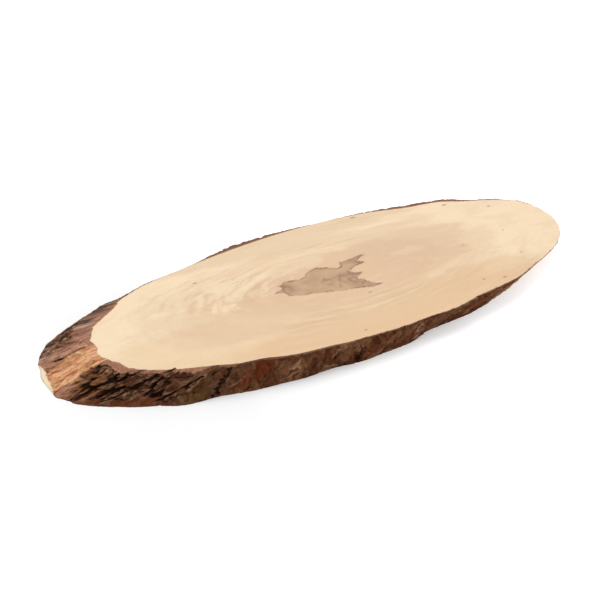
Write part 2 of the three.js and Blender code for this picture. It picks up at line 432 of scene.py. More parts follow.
def find_relief(at, part, scales, bark):
    """How deep the bark is cut, and its fine unevenness; also the furrows and ridges by name."""
    spread = 0.45 + 1.1 * fixed(at, "spread")
    wander = 0.9 * at.small_bend + 1.6 * at.grit
    scales.furrows = named_lines(FURROWS, at.angle, at.height, wander, spread)
    scales.raised = named_lines(RIDGES, at.angle, at.height, wander, spread)
    scales.curled = named_lines(CURLS, at.angle, at.height, 0.5 * wander, spread)
    gap_share = mix(0.4, 1.0, part.deep) * (1 - 0.7 * part.shaggy)
    level_share = 0.8 * mix(1.0, 0.7, part.broad)
    cut = part.rough * (gap_share * scales.gaps + level_share * (TOP_LEVEL - scales.level))
    cut = np.maximum(cut - scales.raised - scales.curled, scales.furrows * (0.8 + 0.7 * at.grit))
    cut = cut + SMOOTH_DEPTH * (part.strip + part.foot)
    cut = np.clip(cut * bark / (bark + 0.9), -MOST_RAISED, bark + MOST_SUNK)
    wrinkle = bent(at, "wrinkles") - 0.5
    fine = 0.25 * (bent(at, "fibre") - 0.5) + 0.5 * at.grit * part.rough
    fine = fine + (fixed(at, "lumps") - 0.5) * (0.3 + 0.7 * part.rough)
    fine = fine + wrinkle * (1.5 * part.tan + 0.8 * (part.mauve + part.foot + part.shoulder))
    return cut, fine


def relief_left(at):
    """The share of the relief that isn't worn off: least along the lower edge at the thin end."""
    end = region("thin_end", at.angle)
    worn = mix(0.5, 0.85, end) * (1 - smoothstep(0.0, mix(0.12, 0.25, end), at.up))
    return (1 - worn) * (1 - 0.35 * region("even_end", at.angle))


def find_torn(at, curled):
    """Where pale wood shows: on the split lower tip, and faintly on the curls."""
    top = (0.12 + 0.08 * at.blotch - 0.010 * at.small_bend) * region("split", at.angle)
    split = (1 - smoothstep(top - 0.015, top + 0.001, at.up)) * (top > 0.02)
    return np.maximum(split, 0.75 * smoothstep(0.1, 0.7, curled))


def find_pale_and_highlit_edges(part, scales):
    """Lighter edges of flakes and ridges: partly paler bark, partly painted highlight."""
    beside_gap = np.exp(-(((scales.flake_border - 0.7) / 0.3) ** 2))
    edge = smoothstep(0.1, 0.5, scales.flake_lead) * beside_gap * part.rough * (1 - 0.6 * part.broad)
    return np.clip(edge + 0.8 * scales.raised, 0, 1)


def find_chip_flecks_and_highlights(at, part, scales):
    """Pale flecks on the highest chips: partly paler bark, partly painted highlight."""
    pale = region("pale_chips_far", at.angle) + region("pale_chips_near", at.loose_angle)
    top_chip = smoothstep(0.55, 0.7, scales.chip) * smoothstep(1.5, 2.1, scales.level)
    return top_chip * np.clip(pale, 0, 1) * (1 - part.strip) * (1 - part.foot)


def spots(at, rows):
    loose_angle = at.angle + 0.5 * at.loose
    return sum(strength * spot(loose_angle, at.along, middle, size) for middle, size, strength in rows)


def skin(angle, height):
    """Everything about the trunk's skin at angles (degrees) and heights, as named arrays."""
    at = find_places(angle, height)
    part = find_regions(at)
    scales = find_plates(at)
    wood, bark = find_outline(at)
    cut, fine = find_relief(at, part, scales, bark)
    # How dark the furrows are for the colours: partly their own dark bark, partly painted shade in the
    # deep parts
    shade = np.maximum((cut + 0.1 - 0.9 * at.grit) / FULL_SHADE, scales.furrows * (0.28 + 0.25 * at.grit))
    open_bark = np.maximum(part.rough, np.clip(scales.furrows / 1.5, 0, 1))
    drop = DROP + DROP_CHANGE * fixed(at, "drop")
    mauve = part.mauve + 0.9 * part.shoulder + 0.7 * part.heel + 0.95 * part.strip
    dark = region("dark", at.loose_angle) + 0.6 * region("rather_dark", at.loose_angle)
    return {
        "radius": wood + bark + (fine - cut) * relief_left(at) * smoothstep(0.05, 1.2, bark),
        "wood": wood,
        "rind": bark,
        "bark": bark,
        "drop": part.shaggy * drop * smoothstep(1.5, 5.0, bark),
        "shaggy": part.shaggy * (1 - 0.75 * region("few_strands", at.loose_angle)),
        "furrow_dark_and_shade": np.clip(shade, 0, 1) * open_bark,
        "plate": scales.plate,
        "flake": 0.6 * scales.flake + 0.4 * scales.chip,
        "chip": find_chip_flecks_and_highlights(at, part, scales),
        "edge": find_pale_and_highlit_edges(part, scales),
        "tan": part.tan,
        "mauve": np.clip(mauve, 0, 1),
        "rust": np.clip(0.8 * part.foot + 0.5 * part.heel + spots(at, RUST), 0, 1),
        "olive": np.clip(spots(at, OLIVE), 0, 1),
        "dark": np.clip(dark, 0, 1),
        "plum": region("plum", at.loose_angle),
        "thin": region("thin", at.loose_angle),
        "torn": find_torn(at, scales.curled),
        "pattern_x": WOOD_RADIUS * np.cos((at.u - at.bend) / WOOD_RADIUS),
        "pattern_y": WOOD_RADIUS * np.sin((at.u - at.bend) / WOOD_RADIUS),
        "pattern_z": at.v - at.twist,
    }


def axis_x(height):
    """The x at which the trunk's axis passes through a height."""
    return (height - THICKNESS / 2) * COS_CUT / SIN_CUT


def to_board(angle, radius, height):
    """Points of the trunk at angles, radii and heights above the lower face."""
    radians = np.radians(angle)
    x = axis_x(height) + radius * np.cos(radians) / SIN_CUT
    return np.stack([x, radius * np.sin(radians), height + 0 * x], axis=-1)


def to_trunk(points, height):
    """Angles in degrees and radii round the trunk of points on a level plane."""
    x = (points[:, 0] - axis_x(height)) * SIN_CUT
    return np.degrees(np.arctan2(points[:, 1], x)) % 360, np.hypot(x, points[:, 1])


def even_angles(count):
    """Angles in degrees that space points evenly along the oval."""
    dense = np.linspace(0, 2 * np.pi, 40 * count + 1)
    pace = np.hypot(np.sin(dense) / SIN_CUT, np.cos(dense))
    run = np.concatenate([[0], np.cumsum((pace[1:] + pace[:-1]) / 2)])
    wanted = np.arange(count) / count * run[-1]
    return np.degrees(np.interp(wanted, run, dense))


# The heart stain's outline on the upper face, from its ragged left tips round to its right prongs
STAIN = [
    (-47, 2), (-40, -1), (-39, -8), (-28, -13), (-20, -14.5), (-10, -18.5), (0, -22), (8, -25.5),
    (16, -26.5), (23, -29), (31, -32), (40, -31), (33, -25), (31, -17), (27, -13), (31, -9), (37, -5.5),
    (31, -3), (29, 2), (35, 6), (43, 8.5), (50, 9.5), (45, 14), (52, 19), (60, 23), (50, 22), (40, 20.5),
    (31, 20), (27, 13), (22, 12.5), (16, 17.5), (8, 22), (0, 21.5), (-6, 18.5), (-10, 14), (-17, 12),
    (-24, 14.5), (-31, 15.5), (-38, 10.5), (-35, 7), (-41, 4.5),
]
# Dark lines inside the stain
STAIN_LINES = [
    [(-38, 12), (-34, 8), (-39, 3), (-38, -6)],
    [(11, -1), (18, 0), (25, -3), (30, -6), (36, -5.5)],
    [(18, 0), (13, -6), (7, -17)],
    [(21, -6), (20.5, -13), (23, -19)],
    [(28, 3), (26, -2)],
    [(30, -20), (26, -22), (23, -29)],
    [(31, 20), (29, 14), (24, 11)],
    [(52, 21), (56, 20)],
    [(43, 17), (44, 12), (49, 10)],
    [(3, 4), (1, 0), (3, -2)],
    [(-27, 14), (-23, 12)],
]
# Darker smudges inside the stain: x, y, half length, half width, strength
SMUDGES = [
    (22, -8, 12, 14, 1),
    (44, 18, 16, 6, 1),
    (27, -25, 9, 7, 1),
    (-34, 4, 6, 10, 1),
    (2, -4, 7, 7, 1),
]
# Where the growth rings show: x, y, half length, half width, how clearly
RINGED = [
    (-76, 30, 70, 34, 0.78),
    (20, -53, 110, 14, 0.5),
    (150, -70, 50, 10, 0.25),
    (20, 54, 80, 12, 0.45),
]
# Small dark flecks on the upper face: x, y, half length
FLECKS = [
    (184.7, 65.9, 4.4), (219.6, 40.4, 3.6), (196.9, -7.4, 2.4), (145.5, -11.6, 2.2), (180.9, -50.6, 2.6),
    (137.2, -79.3, 3.6), (119.4, -72.4, 2.8), (-16.6, -88.2, 2.6), (22.5, -38.4, 2.8), (-96, 55, 3.2),
    (150, 82, 3.0), (93, 90, 4.6),
]
FLECK_WIDTH = 0.42  # of its length
SMUDGE_REACH, RING_REACH, FLECK_REACH = 1.5, 1.4, 1.0  # in half sizes, from the middle outwards
FAR = 99.0  # millimetres: nowhere near

# A fibre of the lower face comes out this far along on the upper one, and the stain is smaller there
UPPER_SHIFT = THICKNESS * COS_CUT / SIN_CUT
LOWER_STAIN_SHRINK = 1.5

# How the points of a sawn face stand: how far apart in each part, and how wide the rim part is
UPPER_FACE = {"pitches": {"field": 7.0, "rim": 1.7, "detail": 1.05}, "rim_width": 9}
LOWER_FACE = {"pitches": {"field": 7.0, "rim": 4.0}, "rim_width": 6}
FIELD_HALF_SIZE = (275, 108)
ROW_PITCH = 0.866  # of the distance between points in a row
SCATTER = 0.12
STAIN_MIDDLE, STAIN_HALF_SIZE = (6, -4), (58, 32)
FLECK_MARGIN, FLECK_LENGTH = 1, 1.6  # of the finely drawn oval round a fleck
RIM_GAP, DETAIL_GAP = 0.9, 2  # millimetres kept free inside the rim

# What each point of the mesh knows about the bark and the wood there, for the colours
LOOK_NAMES = [
    "rind", "furrow_dark_and_shade", "plate", "flake", "chip", "edge", "tan", "mauve", "rust", "olive", "dark",
    "plum", "thin", "torn", "shaggy", "stain", "vein", "smudge", "ringed", "fleck", "pattern_x",
    "pattern_y", "pattern_z",
]


def edge_distance(points, start, end):
    """Distance of each point from a straight line between two points."""
    edge = end - start
    share = np.clip((points - start) @ edge / (edge @ edge), 0, 1)
    return np.linalg.norm(points - start - share[:, None] * edge, axis=1)


def signed_distance(points, outline):
    """Distance of each point from a closed outline, negative inside."""
    outline = np.array(outline, float)
    nearest = np.full(len(points), np.inf)
    inside = np.zeros(len(points), bool)
    for start, end in zip(outline, np.roll(outline, -1, axis=0)):
        nearest = np.minimum(nearest, edge_distance(points, start, end))
        crosses = (start[1] > points[:, 1]) != (end[1] > points[:, 1])
        with np.errstate(divide="ignore", invalid="ignore"):
            slope = (end[0] - start[0]) / (end[1] - start[1])
            at_x = start[0] + (points[:, 1] - start[1]) * slope
        inside ^= crosses & (points[:, 0] < at_x)
    return np.where(inside, -nearest, nearest)


def line_distance(points, lines):
    """Distance of each point from the nearest of some open lines."""
    nearest = np.full(len(points), np.inf)
    for line in lines:
        line = np.array(line, float)
        for start, end in zip(line[:-1], line[1:]):
            nearest = np.minimum(nearest, edge_distance(points, start, end))
    return nearest


def ovals(points, rows, reach):
    """How strongly soft ovals (x, y, half length, half width, strength) mark each point."""
    most = np.zeros(len(points))
    for x, y, half_length, half_width, strength in rows:
        away = np.hypot((points[:, 0] - x) / half_length, (points[:, 1] - y) / half_width)
        most = np.maximum(most, strength * np.clip(reach - away, 0, 1))
    return most


def point_field(pitch, rng):
    """Points in staggered rows over the whole board, each moved a little at random."""
    half_length, half_width = FIELD_HALF_SIZE
    rows = np.arange(-half_width, half_width, pitch * ROW_PITCH)
    x, y = np.meshgrid(np.arange(-half_length, half_length, pitch), rows)
    x = x + (np.arange(len(rows)) % 2)[:, None] * pitch / 2
    points = np.stack([x.ravel(), y.ravel()], axis=-1)
    return points + rng.uniform(-SCATTER, SCATTER, points.shape) * pitch


def face_points(rim, height, face):
    """Points inside a sawn face, close together near its rim, round the stain and at the flecks."""
    rng = np.random.default_rng(SEED)
    rim_angle, rim_radius = to_trunk(rim, height)
    order = np.argsort(rim_angle)
    found = []
    for part, pitch in face["pitches"].items():
        points = point_field(pitch, rng)
        angle, radius = to_trunk(points, height)
        depth = np.interp(angle, rim_angle[order], rim_radius[order], period=360) - radius
        near_rim = depth < face["rim_width"]
        in_stain = np.all(np.abs(points - STAIN_MIDDLE) < STAIN_HALF_SIZE, axis=1)
        in_fleck = np.zeros(len(points), bool)
        for fleck_x, fleck_y, half in FLECKS:
            away = np.hypot((points[:, 0] - fleck_x) / FLECK_LENGTH, points[:, 1] - fleck_y)
            in_fleck |= away < half + FLECK_MARGIN
        if "detail" not in face["pitches"]:
            in_stain, in_fleck = False, False
        chosen = {
            "field": ~near_rim & np.logical_not(in_stain | in_fleck),
            "rim": near_rim & (depth > RIM_GAP) & np.logical_not(in_stain),
            "detail": (in_stain | in_fleck) & (depth > DETAIL_GAP),
        }[part]
        found.append(points[chosen])
    return np.concatenate(found)


def fill_face(rim_xy, inner_xy):
    """Triangles of a face from its rim, in order, and the points inside it."""
    count = len(rim_xy)
    coords = [Vector(point) for point in np.concatenate([rim_xy, inner_xy]).tolist()]
    edges = [(i, (i + 1) % count) for i in range(count)]
    vertices, _, faces, origins, _, _ = delaunay_2d_cdt(coords, edges, [], 1, 1e-7)
    if len(vertices) != len(coords):
        raise RuntimeError(f"a sawn face's rim crosses itself: {len(vertices)} for {len(coords)}")
    first = [origin[0] for origin in origins]
    return np.array([[first[i] for i in face] for face in faces])


def split_tip(angle, height):
    """The least x of the skin: the thin lower tip has split off, along a face not quite flat."""
    around = np.radians(angle) * WOOD_RADIUS
    ragged = noise(around, height * TIP_SQUEEZE, *PATTERNS["tip"]) - 0.5
    least = TIP_X + TIP_SLOPE * height + TIP_ROUGHNESS * ragged
    return np.where(height < TIP_HEIGHT, least, -np.inf)


def skin_rings():
    """The skin's points, ring by ring from the lower rim to the upper, and their looks."""
    heights = np.linspace(0, THICKNESS, STEPS_UP + 1)
    angle, height = (a.ravel() for a in np.meshgrid(even_angles(STEPS_ROUND), heights))
    looks = skin(angle, height)
    points = to_board(angle, looks["radius"], height)
    upper_rim_drop = np.tile(looks["drop"][-STEPS_ROUND:], STEPS_UP + 1)
    points[:, 2] -= upper_rim_drop * (height / THICKNESS) ** 2
    points[:, 0] = np.maximum(points[:, 0], split_tip(angle, height))
    looks["stain"] = looks["vein"] = np.full(angle.shape, FAR)
    looks["smudge"] = looks["ringed"] = looks["fleck"] = np.zeros(angle.shape)
    return points, looks


def ring_faces():
    """The four-sided faces between the skin's rings."""
    columns = np.arange(STEPS_ROUND)
    following = (columns + 1) % STEPS_ROUND
    quads = []
    for level in range(STEPS_UP):
        low, high = level * STEPS_ROUND, (level + 1) * STEPS_ROUND
        quads.append(np.stack([low + columns, low + following, high + following, high + columns], 1))
    return np.concatenate(quads).tolist()


def face_looks(inner, height, upper):
    """The looks of points inside a sawn face, and how far each has sunk into shaggy bark."""
    angle, radius = to_trunk(inner, height)
    looks = skin(angle, np.full(angle.shape, height))
    looks["rind"] = radius - looks["wood"]
    looks["torn"] = np.zeros(len(inner))
    outward = np.clip(looks["rind"] / np.maximum(looks["bark"], 0.5), 0, 1)
    # The furrows' dark colour and painted shade fade out where the saw has cut the bark level
    looks["furrow_dark_and_shade"] = looks["furrow_dark_and_shade"] * smoothstep(0.25, 0.95, outward)
    looks["shaggy"] = looks["shaggy"] * smoothstep(0.25, 0.7, outward)
    sunk = looks["drop"] * smoothstep(0.05, 0.9, outward) * upper
    on_upper = inner if upper else inner + [UPPER_SHIFT, 0]
    flecks = [(x, y, half, FLECK_WIDTH * half, 1) for x, y, half in FLECKS]
    looks["stain"] = signed_distance(on_upper, STAIN) + (0 if upper else LOWER_STAIN_SHRINK)
    looks["ringed"] = ovals(on_upper, RINGED, RING_REACH)
    looks["vein"] = line_distance(inner, STAIN_LINES) if upper else np.full(len(inner), FAR)
    looks["smudge"] = ovals(inner, SMUDGES if upper else [], SMUDGE_REACH)
    looks["fleck"] = ovals(inner, flecks if upper else [], FLECK_REACH)
    return looks, sunk


def sawn_face(rim, upper):
    """A sawn face inside its rim: its points, their looks, and triangles that look outwards."""
    height = THICKNESS if upper else 0.0
    inner = face_points(rim, height, UPPER_FACE if upper else LOWER_FACE)
    looks, sunk = face_looks(inner, height, upper)
    triangles = fill_face(rim[:, :2], inner)
    if not upper:
        triangles = triangles[:, ::-1]
    return np.column_stack([inner, height - sunk]), looks, triangles


def build_board():
    """The board's points, faces and looks: first the skin, then the lower and the upper face."""
    skin_points, skin_looks = skin_rings()
    faces = ring_faces()
    skin_faces = len(faces)
    all_points, all_looks = [skin_points], [skin_looks]
    next_index = len(skin_points)
    for upper in (False, True):
        rim_start = STEPS_UP * STEPS_ROUND if upper else 0
        rim = skin_points[rim_start : rim_start + STEPS_ROUND]
        inner, looks, triangles = sawn_face(rim, upper)
        on_rim = triangles < STEPS_ROUND
        triangles = triangles + np.where(on_rim, rim_start, next_index - STEPS_ROUND)
        faces += triangles.tolist()
        next_index += len(inner)
        all_points.append(inner)
        all_looks.append(looks)
    looks = {name: np.concatenate([part[name] for part in all_looks]) for name in LOOK_NAMES}
    return np.concatenate(all_points), faces, skin_faces, looks


# The flat map: shares of one square picture
MAP_MARGIN = 0.006
MAP_STRIPS = 4
STRIP_HEIGHT = 0.069
STRIP_PITCH = 0.075
LOWER_FACE_MAP = {"foot": 0.309, "scale": 0.00132}
UPPER_FACE_MAP = {"foot": 0.588, "scale": 0.00191}


def add_flat_map(mesh, points, skin_faces):
    """Lays the board out flat: the bark in strips, then the lower and the upper face."""
    at = np.empty(len(mesh.loops), np.int32)
    mesh.loops.foreach_get("vertex_index", at)
    flat = np.empty((len(at), 2))
    quads = np.arange(skin_faces)
    level, column = np.divmod(quads, STEPS_ROUND)
    strip, step = np.divmod(column, STEPS_ROUND // MAP_STRIPS)
    across = (step[:, None] + [0, 1, 1, 0]) * MAP_STRIPS / STEPS_ROUND
    upward = (level[:, None] + [0, 0, 1, 1]) / STEPS_UP
    skin_corners = 4 * skin_faces
    flat[:skin_corners, 0] = MAP_MARGIN + (across * (1 - 2 * MAP_MARGIN)).ravel()
    flat[:skin_corners, 1] = (MAP_MARGIN + strip[:, None] * STRIP_PITCH + upward * STRIP_HEIGHT).ravel()
    on_face = points[at[skin_corners:]] - points.min(axis=0)
    upper = on_face[:, 2] > THICKNESS / 2
    scale = np.where(upper, UPPER_FACE_MAP["scale"], LOWER_FACE_MAP["scale"])
    foot = np.where(upper, UPPER_FACE_MAP["foot"], LOWER_FACE_MAP["foot"])
    flat[skin_corners:, 0] = MAP_MARGIN + on_face[:, 0] * scale
    flat[skin_corners:, 1] = foot + on_face[:, 1] * scale
    layer = mesh.uv_layers.new(name="OFBake")
    layer.data.foreach_set("uv", flat.ravel())


def make_piece():
    points, faces, skin_faces, looks = build_board()
    middle = (points.min(axis=0) + points.max(axis=0)) / 2
    shift = (CAD_LOW + CAD_HIGH) / 2 - middle
    shift[2] = CAD_LOW[2]
    mesh = bpy.data.meshes.new("oval_slice")
    mesh.from_pydata(((points + shift) * MM).tolist(), [], faces)
    mesh.update()
    smooth = np.zeros(len(mesh.polygons), bool)
    smooth[:skin_faces] = True
    mesh.polygons.foreach_set("use_smooth", smooth)
    mesh.polygons.foreach_set("material_index", smooth.astype(np.int32))
    for name, values in looks.items():
        attribute = mesh.attributes.new(name, "FLOAT", "POINT")
        attribute.data.foreach_set("value", values.astype(np.float32))
    add_flat_map(mesh, points, skin_faces)
    piece = bpy.data.objects.new("oval_slice", mesh)
    bpy.context.scene.collection.objects.link(piece)
    return piece, shift


# Brightness of white paper in the photo's light, where 1 is the brightest that the picture shows
WHITE_LEVEL = 1.5


def seen(red, green, blue):
    """The reflectance of a surface that the photo shows in this colour, in full light."""
    share = np.array([red, green, blue]) / 255
    linear = np.where(share <= 0.04045, share / 12.92, ((share + 0.055) / 1.055) ** 2.4)
    return (*np.clip(linear / WHITE_LEVEL, 0, 1).tolist(), 1.0)


class Graph:
    """Short calls that add nodes to a material and link them."""

    def __init__(self, material):
        material.use_nodes = True
        self.tree = material.node_tree
        self.tree.nodes.clear()

    def node(self, kind, inputs=None, **settings):
        node = self.tree.nodes.new(kind)
        for name, value in settings.items():
            setattr(node, name, value)
        for key, value in (inputs or {}).items():
            if isinstance(value, bpy.types.NodeSocket):
                self.tree.links.new(value, node.inputs[key])
            else:
                node.inputs[key].default_value = value
        return node

    def look(self, name):
        return self.node("ShaderNodeAttribute", attribute_name=name).outputs["Fac"]

    def math(self, operation, a, b=0.0, c=0.0):
        return self.node("ShaderNodeMath", {0: a, 1: b, 2: c}, operation=operation).outputs[0]

    def blend(self, share, a, b):
        inputs = {0: share, 6: a, 7: b}
        return self.node("ShaderNodeMix", inputs, data_type="RGBA").outputs[2]

    def choose(self, share, a, b):
        return self.node("ShaderNodeMix", {0: share, 2: a, 3: b}).outputs[0]

    def rise(self, value, low, high, to_low=0.0, to_high=1.0):
        inputs = {0: value, 1: low, 2: high, 3: to_low, 4: to_high}
        return self.node("ShaderNodeMapRange", inputs, interpolation_type="SMOOTHSTEP").outputs[0]

    def vector(self, operation, a, b=(0.0, 0.0, 0.0)):
        return self.node("ShaderNodeVectorMath", {0: a, 1: b}, operation=operation).outputs[0]

    def length(self, vector):
        node = self.node("ShaderNodeVectorMath", {0: vector}, operation="LENGTH")
        return node.outputs["Value"]

    def combine(self, x, y, z):
        return self.node("ShaderNodeCombineXYZ", {0: x, 1: y, 2: z}).outputs[0]

    def noise(self, vector, scale, detail=2.0, roughness=0.5, distortion=0.0, output=0):
        inputs = {"Vector": vector, "Scale": scale, "Detail": detail}
        inputs |= {"Roughness": roughness, "Distortion": distortion}
        return self.node("ShaderNodeTexNoise", inputs, noise_dimensions="3D").outputs[output]

    def texture(self, place, row, output=0):
        """Noise by a row of a table, drawn out along the trunk by its first number."""
        drawn_out = self.vector("MULTIPLY", place, (1.0, 1.0, row[0]))
        return self.noise(drawn_out, *row[1:], output=output)

    def surface(self, inputs):
        """Ends the material with one shader."""
        shader = self.node("ShaderNodeBsdfPrincipled", inputs)
        self.node("ShaderNodeOutputMaterial", {"Surface": shader.outputs[0]})

    def tint(self, colour, share, shown, within=1.0):
        """Lays a colour that the photo shows over another."""
        return self.blend(self.math("MULTIPLY", share, within), colour, seen(*shown))

    def lay(self, colour, sources, layers, within=1.0):
        """Lays colours over another, each where its source goes from one value to another."""
        for name, start, full, strength, shown in layers:
            share = self.rise(sources[name], start, full, 0.0, strength)
            colour = self.tint(colour, share, shown, within)
        return colour


# Tones of the wood's figure on the upper face: x, y, half length, half width, colour, strength, softness
FIGURE = [
    (0, -80, 200, 27, (230, 191, 148), 0.85, 0.25),
    (0, 92, 210, 22, (232, 202, 166), 0.7, 0.3),
    (-165, -45, 60, 34, (239, 208, 168), 0.7, 0.4),
    (12, 0, 160, 72, (232, 199, 163), 0.65, 0.14),
    (18, 2, 134, 57, (244, 216, 178), 0.8, 0.07),
    (20, -3, 112, 46, (227, 190, 154), 0.85, 0.14),
    (100, 12, 52, 36, (223, 190, 156), 0.6, 0.25),
    (30, -54, 115, 13, (228, 193, 154), 0.7, 0.25),
    (-98, -28, 54, 24, (229, 196, 160), 0.6, 0.35),
    (130, -62, 60, 20, (231, 194, 154), 0.6, 0.25),
    (-30, 36, 60, 8, (243, 217, 181), 0.6, 0.2),
    (-78, 30, 34, 18, (244, 219, 182), 0.85, 0.15),
    (-96, 8, 14, 12, (245, 220, 182), 0.9, 0.12),
    (-66, 16, 20, 10, (238, 211, 175), 0.6, 0.2),
    (-130, 36, 24, 12, (235, 209, 172), 0.6, 0.25),
    (-150, -4, 22, 16, (234, 208, 173), 0.4, 0.3),
    (92, 6, 18, 7, (236, 207, 173), 0.6, 0.3),
    (10, 66, 60, 6, (233, 203, 169), 0.6, 0.3),
    (110, 55, 50, 10, (236, 206, 172), 0.5, 0.3),
]
LIGHTEST_WOOD = (250, 224, 188)

# Noise: how far it is drawn out along the trunk, its scale, detail, roughness and distortion
WOOD_TEXTURES = {
    "soft": (0.3, 45, 4, 0.6, 0.6),
    "broken": (0.3, 14, 2),
    "pieces": (0.35, 42, 3, 0.6, 0.5),
    "fibre": (0.045, 700, 3, 0.6),
    "ragged": (0.3, 330, 5, 0.7),
    "shade": (1.0, 75, 4, 0.6),
}
BARK_TEXTURES = {
    "mottle": (0.4, 170, 4, 0.65),
    "fine": (0.35, 650, 3, 0.65),
    "streaks": (0.15, 210, 4, 0.6, 0.4),
    "spots": (0.5, 360, 4, 0.7, 0.5),
    "lines": (0.09, 430, 3, 0.55, 0.5),
    "strands": (0.12, 430, 4, 0.65, 0.8),
    "bundles": (0.2, 120, 2, 0.5),
}
WARP_TEXTURE, WARP_REACH = (0.4, 24, 4, 0.6), (0.085, 0.034, 0.0)
RIPPLE_TEXTURE, RIPPLE_REACH = (0.15, 110, 4, 0.7), (0.05, 0.018, 0.0)
WAVE_TEXTURE = (0.35, 36, 3, 0.55)
SHELLS_OUTWARD, SHELLS_ROUND = 170.0, 2.2  # cells of the ring noise: for each metre, and round
BROAD_RING, NARROW_RING = 0.0083, 0.0047  # metres
WAVE_WANDER, NARROW_WANDER = 14.0, 1.6
RIM_TEXTURE = (1.0, 330, 3, 0.6)
SPECK_TEXTURE = (1.0, 620, 3, 0.65)
GRAIN_TEXTURE = (0.05, 900, 3, 0.6)
ROUGH_TEXTURE = (0.4, 750, 4, 0.7)
GLOSS_TEXTURE = (0.06, 400, 2)

# Layers of colour: the source, where it starts and where it is full, its strength, the colour
WOOD_LAYERS = [("soft", 0.45, 0.66, 0.30, (228, 196, 160))]
RING_LAYERS = [
    ("rings", 0.52, 0.62, 0.7, (220, 184, 146)),
    ("rings", 0.46, 0.36, 0.6, (248, 224, 188)),
]
CLEAR_RING_LAYERS = [
    ("wave", 0.0, 1.3, 0.75, (249, 224, 188)),
    ("wave", -0.2, -1.3, 0.6, (217, 180, 142)),
]
FIBRE_LAYERS = [("fibre", 0.58, 0.76, 0.32, (206, 168, 130))]
PLATE_LAYERS = [
    ("flake", 0.5, 0.85, 0.65, (90, 44, 22)),
    ("flake", 0.42, 0.15, 0.4, (158, 106, 70)),
    ("streaks", 0.50, 0.64, 0.32, (66, 30, 13)),
    ("streaks", 0.42, 0.30, 0.5, (152, 104, 68)),
    ("mottle", 0.46, 0.64, 0.6, (72, 36, 17)),
]
MAUVE_LAYERS = [
    ("streaks", 0.54, 0.66, 0.4, (124, 78, 58)),
    ("spots", 0.51, 0.62, 0.7, (112, 70, 52)),
    ("spots", 0.44, 0.32, 0.4, (222, 170, 142)),
]
TAN_LAYERS = [
    ("streaks", 0.55, 0.64, 0.65, (180, 112, 76)),
    ("lines", 0.57, 0.64, 0.6, (168, 98, 64)),
    ("fine", 0.60, 0.74, 0.5, (176, 114, 82)),
    ("streaks", 0.42, 0.34, 0.6, (252, 212, 174)),
]
STRAND_LAYERS = [
    ("strands", 0.52, 0.58, 0.92, (58, 38, 31)),
    ("strands", 0.44, 0.39, 0.75, (204, 176, 158)),
]
# Paler bark and painted highlight along the edges of flakes and ridges
EDGE_PALE_AND_HIGHLIGHT_LAYERS = [("mottle", 0.40, 0.52, 0.85, (182, 140, 112))]
PORE_LAYERS = [("fine", 0.51, 0.64, 0.45, (44, 18, 7))]


def along_grain(g, coordinates):
    """Where a fibre through each point comes out on the upper face, in metres."""
    parts = g.node("ShaderNodeSeparateXYZ", {0: coordinates})
    below = g.math("SUBTRACT", THICKNESS * MM, parts.outputs[2])
    x = g.math("MULTIPLY_ADD", below, COS_CUT / SIN_CUT, parts.outputs[0])
    return g.combine(x, parts.outputs[1], 0.0)


def wander(g, trunk, texture, reach):
    """Small random moves, up to half the reach either way."""
    centred = g.vector("SUBTRACT", g.texture(trunk, texture, "Color"), (0.5, 0.5, 0.5))
    return g.vector("MULTIPLY", centred, reach)


def figure_tone(g, place_on_face, trunk, shift):
    """The heart's soft patches, laid one over another with wandering borders."""
    warp = wander(g, trunk, WARP_TEXTURE, WARP_REACH)
    warp = g.vector("ADD", warp, wander(g, trunk, RIPPLE_TEXTURE, RIPPLE_REACH))
    wandering = g.vector("ADD", place_on_face, warp)
    colour = seen(*LIGHTEST_WOOD)
    for x, y, half_length, half_width, tone, strength, softness in FIGURE:
        centre = ((x + shift[0]) * MM, (y + shift[1]) * MM, 0.0)
        size = (1 / (half_length * MM), 1 / (half_width * MM), 0.0)
        away = g.length(g.vector("MULTIPLY", g.vector("SUBTRACT", wandering, centre), size))
        colour = g.tint(colour, g.rise(away, 1 + softness, 1 - softness, 0.0, strength), tone)
    return colour


def ring_noise(g, trunk):
    """Noise in thin shells round the trunk's axis, for the year rings."""
    flat = g.vector("MULTIPLY", trunk, (1.0, 1.0, 0.0))
    outward = g.combine(0.0, 0.0, g.math("MULTIPLY", g.length(flat), SHELLS_OUTWARD))
    round_trunk = g.vector("MULTIPLY", g.vector("NORMALIZE", flat), (SHELLS_ROUND, SHELLS_ROUND, 0.0))
    return g.noise(g.vector("ADD", round_trunk, outward), 1.0, 4, 0.6, 0.25)


def ring_wave(g, trunk):
    """Regular year rings, from about -1.5 to 1.5: two waves that wander together."""
    radius = g.length(g.vector("MULTIPLY", trunk, (1.0, 1.0, 0.0)))
    phase = g.math("MULTIPLY", g.texture(trunk, WAVE_TEXTURE), WAVE_WANDER)
    broad = g.math("SINE", g.math("MULTIPLY_ADD", radius, 2 * np.pi / BROAD_RING, phase))
    phase = g.math("MULTIPLY", phase, NARROW_WANDER)
    narrow = g.math("SINE", g.math("MULTIPLY_ADD", radius, 2 * np.pi / NARROW_RING, phase))
    return g.math("MULTIPLY_ADD", narrow, 0.5, broad)


